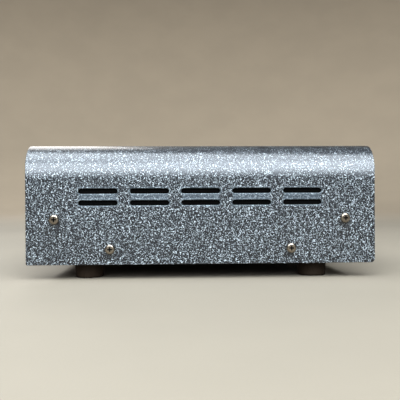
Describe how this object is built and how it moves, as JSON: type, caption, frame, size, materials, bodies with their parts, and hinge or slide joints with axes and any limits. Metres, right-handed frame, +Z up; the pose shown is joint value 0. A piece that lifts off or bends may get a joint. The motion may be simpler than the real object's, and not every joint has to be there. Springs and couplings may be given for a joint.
{
  "type": "guitar amp head",
  "caption": "Compact solid-state guitar amplifier head in a folded steel case with slotted sides, round rubber feet, front knobs and rear sockets.",
  "frame": {"origin": "middle of the case's footprint, on the surface that the feet stand on", "axes": "+X towards the player's right when facing the controls, -Y towards the front, +Z up"},
  "size_m": [0.2224, 0.21, 0.0808],
  "materials": {
    "case_paint": "crackled blue-grey powder coat with fine light veins",
    "pan_steel": "satin black paint",
    "rear_paint": "satin black powder coat",
    "faceplate_metal": "brushed and black anodised",
    "screw_nickel": "nickel plated",
    "nut_steel": "nickel plated, turned",
    "foot_rubber": "matt brownish black",
    "board_laminate": "green solder mask",
    "component_plastic": "moulded black",
    "control_steel": "plated steel",
    "shaft_steel": "turned",
    "knob_plastic": "satin black phenolic with a white pointer",
    "jack_plastic": "moulded black",
    "lamp_chrome": "polished",
    "lamp_jewel": "clear red with facets",
    "inlet_plastic": "moulded black, fine texture",
    "rocker_plastic": "polished black with white marks",
    "pin_brass": "nickel-plated brass",
    "fuse_glass": "clear glass with plated caps",
    "sink_aluminium": "black anodised extrusion",
    "core_iron": "varnished laminations",
    "copper_winding": "varnished copper",
    "capacitor_sleeve": "shrunk plastic sleeve",
    "lead_sleeve": "plastic insulation"
  },
  "bodies": {
    "case": {"top_cover": "case_paint", "chassis_pan": "pan_steel", "front_panel": "pan_steel", "rear_panel": "rear_paint", "faceplate": "faceplate_metal", "cover_screws": "screw_nickel", "assembly_screws": "screw_nickel", "foot_screws": "screw_nickel", "inlet_screws": "screw_nickel", "fan_screws": "screw_nickel", "clinch_nuts": "nut_steel", "foot_nuts": "nut_steel", "pot_nuts": "nut_steel", "toggle_nuts": "nut_steel", "jack_nuts": "nut_steel", "board_standoffs": "nut_steel", "rubber_feet": "foot_rubber", "main_board": "board_laminate", "preamp_board": "board_laminate", "board_components": "component_plastic", "output_devices": "component_plastic", "pot_bodies": "control_steel", "toggle_bodies": "control_steel", "input_jack": "jack_plastic", "footswitch_jack": "jack_plastic", "phones_jack": "jack_plastic", "speaker_jacks": "jack_plastic", "effects_jacks": "jack_plastic", "lamp_bezel": "lamp_chrome", "lamp_lens": "lamp_jewel", "power_inlet": "inlet_plastic", "switch_frame": "inlet_plastic", "fan_frame": "inlet_plastic", "inlet_pins": "pin_brass", "heatsink": "sink_aluminium", "transformer_core": "core_iron", "transformer_winding": "copper_winding", "output_inductors": "copper_winding", "filter_capacitors": "capacitor_sleeve", "ribbon_cable": "lead_sleeve", "wiring_harness": "lead_sleeve"},
    "gain_control": {"gain_knob": "knob_plastic", "gain_shaft": "shaft_steel"},
    "bass_control": {"bass_knob": "knob_plastic", "bass_shaft": "shaft_steel"},
    "middle_control": {"middle_knob": "knob_plastic", "middle_shaft": "shaft_steel"},
    "treble_control": {"treble_knob": "knob_plastic", "treble_shaft": "shaft_steel"},
    "reverb_control": {"reverb_knob": "knob_plastic", "reverb_shaft": "shaft_steel"},
    "master_control": {"master_knob": "knob_plastic", "master_shaft": "shaft_steel"},
    "bright_switch": {"bright_lever": "control_steel"},
    "voice_switch": {"voice_lever": "control_steel"},
    "power_switch": {"power_rocker": "rocker_plastic"},
    "fuse_tray": {"fuse_drawer": "inlet_plastic", "fuse": "fuse_glass"},
    "fan_wheel": {"fan_rotor": "inlet_plastic"}
  },
  "joints": [
    {"name": "gain_turn", "type": "hinge", "parent": "case", "child": "gain_control", "pos_m": [-0.075, -0.0946, 0.053], "axis": [0, 1, 0], "range_deg": [-150, 150]},
    {"name": "bass_turn", "type": "hinge", "parent": "case", "child": "bass_control", "pos_m": [-0.045, -0.0946, 0.053], "axis": [0, 1, 0], "range_deg": [-150, 150]},
    {"name": "middle_turn", "type": "hinge", "parent": "case", "child": "middle_control", "pos_m": [-0.015, -0.0946, 0.053], "axis": [0, 1, 0], "range_deg": [-150, 150]},
    {"name": "treble_turn", "type": "hinge", "parent": "case", "child": "treble_control", "pos_m": [0.015, -0.0946, 0.053], "axis": [0, 1, 0], "range_deg": [-150, 150]},
    {"name": "reverb_turn", "type": "hinge", "parent": "case", "child": "reverb_control", "pos_m": [0.045, -0.0946, 0.053], "axis": [0, 1, 0], "range_deg": [-150, 150]},
    {"name": "master_turn", "type": "hinge", "parent": "case", "child": "master_control", "pos_m": [0.075, -0.0946, 0.053], "axis": [0, 1, 0], "range_deg": [-150, 150]},
    {"name": "bright_flip", "type": "hinge", "parent": "case", "child": "bright_switch", "pos_m": [-0.045, -0.0955, 0.0265], "axis": [1, 0, 0], "range_deg": [0, 24]},
    {"name": "voice_flip", "type": "hinge", "parent": "case", "child": "voice_switch", "pos_m": [-0.015, -0.0955, 0.0265], "axis": [1, 0, 0], "range_deg": [0, 24]},
    {"name": "power_press", "type": "hinge", "parent": "case", "child": "power_switch", "pos_m": [0.036, 0.0934, 0.045], "axis": [1, 0, 0], "range_deg": [0, 16]},
    {"name": "fuse_slide", "type": "slide", "parent": "case", "child": "fuse_tray", "axis": [0, 1, 0], "range_m": [0, 0.011]},
    {"name": "fan_spin", "type": "hinge", "parent": "case", "child": "fan_wheel", "pos_m": [0.102, 0.0007, 0.0455], "axis": [1, 0, 0], "continuous": true}
  ]
}
